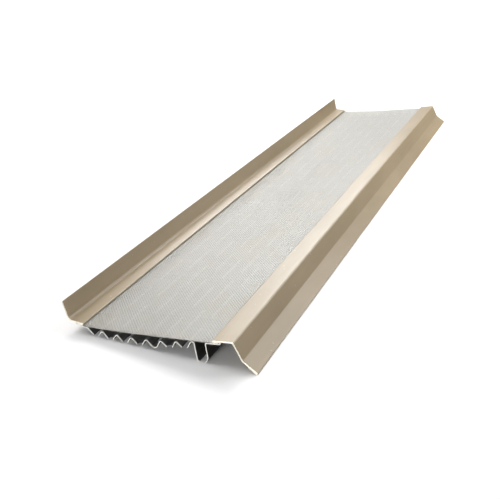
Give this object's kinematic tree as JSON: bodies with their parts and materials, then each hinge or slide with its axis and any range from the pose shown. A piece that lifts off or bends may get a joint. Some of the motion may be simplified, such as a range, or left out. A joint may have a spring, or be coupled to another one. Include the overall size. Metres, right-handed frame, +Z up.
{
  "type": "micro mesh gutter guard section",
  "caption": "Short length of micro-mesh gutter guard: woven screen over a corrugated, slotted tray, locked between a painted rear flange and a painted hooded front cap with a hemmed lip.",
  "frame": {"origin": "bottom centre of the bounding box: the floor under the middle of the guard as it lies at rest", "axes": "+Y along the gutter, +X from the house side to the gutter's front lip, +Z up"},
  "size_m": [0.1594, 0.61, 0.0251],
  "materials": {
    "painted_flange": "semi-gloss tan coil coating",
    "painted_cap": "semi-gloss tan coil coating",
    "mill_aluminium": "bright mill finish",
    "woven_steel": "woven stainless wire"
  },
  "bodies": {
    "root": {"rear_flange": "painted_flange", "support_tray": "mill_aluminium", "mesh_screen": "woven_steel", "front_cap": "painted_cap"}
  },
  "joints": []
}
